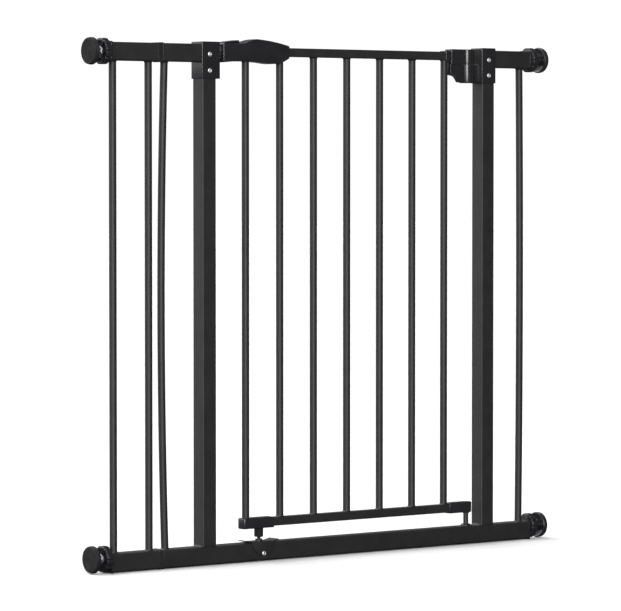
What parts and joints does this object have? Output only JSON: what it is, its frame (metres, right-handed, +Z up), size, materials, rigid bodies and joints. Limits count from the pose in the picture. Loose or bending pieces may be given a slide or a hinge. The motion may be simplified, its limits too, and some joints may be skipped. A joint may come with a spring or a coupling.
{
  "type": "safety baby gate",
  "caption": "Pressure-fit safety gate for a doorway: tubular frame with a side extension, a lift-and-swing barred door with a sliding lock, and four screw spindles that clamp between walls.",
  "frame": {"origin": "on the floor, midway between the two walls and in the middle of the gate's depth", "axes": "+X to the right along the gate, +Y to the side the door opens to, +Z up"},
  "size_m": [0.85, 0.0396, 0.77],
  "materials": {
    "black_powder_coat": "satin black powder coat",
    "black_plastic": "moulded black plastic, satin",
    "black_rubber": "moulded rubber, matt",
    "black_steel": "black zinc plating",
    "zinc_steel": "bright zinc plating",
    "bright_steel": "bright rivets",
    "spring_steel": "plain spring steel"
  },
  "bodies": {
    "frame": {"bottom_rail": "black_powder_coat", "left_post": "black_powder_coat", "right_post": "black_powder_coat", "top_rail_left": "black_powder_coat", "top_rail_right": "black_powder_coat", "side_bar_left": "black_powder_coat", "side_bar_right": "black_powder_coat", "extension_top_rail": "black_powder_coat", "extension_bottom_rail": "black_powder_coat", "extension_bars": "black_powder_coat", "extension_plug_top": "black_plastic", "extension_plug_bottom": "black_plastic", "latch_bracket": "black_plastic", "hinge_bracket": "black_plastic", "rivets": "bright_steel", "upper_hinge_pin": "zinc_steel", "catch_plate": "black_plastic", "hinge_bush": "black_plastic", "end_cap_top_left": "black_plastic", "end_cap_top_right": "black_plastic", "end_cap_bottom_left": "black_plastic", "end_cap_bottom_right": "black_plastic"},
    "lift_pin": {"lower_hinge_pin": "black_steel"},
    "door": {"door_top_rail": "black_powder_coat", "door_bottom_rail": "black_powder_coat", "door_bar_1": "black_powder_coat", "door_bar_2": "black_powder_coat", "door_bar_3": "black_powder_coat", "door_bar_4": "black_powder_coat", "door_bar_5": "black_powder_coat", "door_bar_6": "black_powder_coat", "door_bar_7": "black_powder_coat", "upper_hinge_cap": "black_plastic", "lower_hinge_cap": "black_plastic", "latch_foot": "black_plastic", "handle_front": "black_plastic", "handle_back": "black_plastic", "handle_screws": "black_steel", "lock_spring": "spring_steel"},
    "slider": {"lock_slider": "black_plastic"},
    "wheel_top_left": {"wheel_top_left": "black_plastic", "wheel_nut_top_left": "zinc_steel"},
    "spindle_top_left": {"threaded_rod_top_left": "zinc_steel", "pad_disc_top_left": "black_plastic", "pad_rubber_top_left": "black_rubber"},
    "wheel_top_right": {"wheel_top_right": "black_plastic", "wheel_nut_top_right": "zinc_steel"},
    "spindle_top_right": {"threaded_rod_top_right": "zinc_steel", "pad_disc_top_right": "black_plastic", "pad_rubber_top_right": "black_rubber"},
    "wheel_bottom_left": {"wheel_bottom_left": "black_plastic", "wheel_nut_bottom_left": "zinc_steel"},
    "spindle_bottom_left": {"threaded_rod_bottom_left": "zinc_steel", "pad_disc_bottom_left": "black_plastic", "pad_rubber_bottom_left": "black_rubber"},
    "wheel_bottom_right": {"wheel_bottom_right": "black_plastic", "wheel_nut_bottom_right": "zinc_steel"},
    "spindle_bottom_right": {"threaded_rod_bottom_right": "zinc_steel", "pad_disc_bottom_right": "black_plastic", "pad_rubber_bottom_right": "black_rubber"}
  },
  "joints": [
    {"name": "door_lift", "type": "slide", "parent": "frame", "child": "lift_pin", "axis": [0, 0, 1], "range_m": [0, 0.008]},
    {"name": "door_swing", "type": "hinge", "parent": "lift_pin", "child": "door", "pos_m": [0.274, 0, 0.4], "axis": [0, 0, -1], "range_deg": [0, 90]},
    {"name": "lock_slide", "type": "slide", "parent": "door", "child": "slider", "axis": [1, 0, 0], "range_m": [0, 0.007], "stiffness_N_per_m": 400, "springref_m": -0.006, "deforming": ["lock_spring"]},
    {"name": "spindle_top_left_travel", "type": "slide", "parent": "frame", "child": "spindle_top_left", "axis": [-1, 0, 0], "range_m": [-0.005, 0.02]},
    {"name": "wheel_top_left_turn", "type": "hinge", "parent": "frame", "child": "wheel_top_left", "pos_m": [-0.4, 0, 0.74775], "axis": [-1, 0, 0], "range_deg": [-1441, 5761]},
    {"name": "spindle_top_right_travel", "type": "slide", "parent": "frame", "child": "spindle_top_right", "axis": [1, 0, 0], "range_m": [-0.005, 0.02]},
    {"name": "wheel_top_right_turn", "type": "hinge", "parent": "frame", "child": "wheel_top_right", "pos_m": [0.4, 0, 0.74775], "axis": [1, 0, 0], "range_deg": [-1441, 5761]},
    {"name": "spindle_bottom_left_travel", "type": "slide", "parent": "frame", "child": "spindle_bottom_left", "axis": [-1, 0, 0], "range_m": [-0.005, 0.02]},
    {"name": "wheel_bottom_left_turn", "type": "hinge", "parent": "frame", "child": "wheel_bottom_left", "pos_m": [-0.4, 0, 0.0204], "axis": [-1, 0, 0], "range_deg": [-1441, 5761]},
    {"name": "spindle_bottom_right_travel", "type": "slide", "parent": "frame", "child": "spindle_bottom_right", "axis": [1, 0, 0], "range_m": [-0.005, 0.02]},
    {"name": "wheel_bottom_right_turn", "type": "hinge", "parent": "frame", "child": "wheel_bottom_right", "pos_m": [0.4, 0, 0.0204], "axis": [1, 0, 0], "range_deg": [-1441, 5761]}
  ],
  "couplings": [
    {"joint": "wheel_top_left_turn", "follows": "spindle_top_left_travel", "rad_per_m": 5026.5},
    {"joint": "wheel_top_right_turn", "follows": "spindle_top_right_travel", "rad_per_m": 5026.5},
    {"joint": "wheel_bottom_left_turn", "follows": "spindle_bottom_left_travel", "rad_per_m": 5026.5},
    {"joint": "wheel_bottom_right_turn", "follows": "spindle_bottom_right_travel", "rad_per_m": 5026.5}
  ]
}
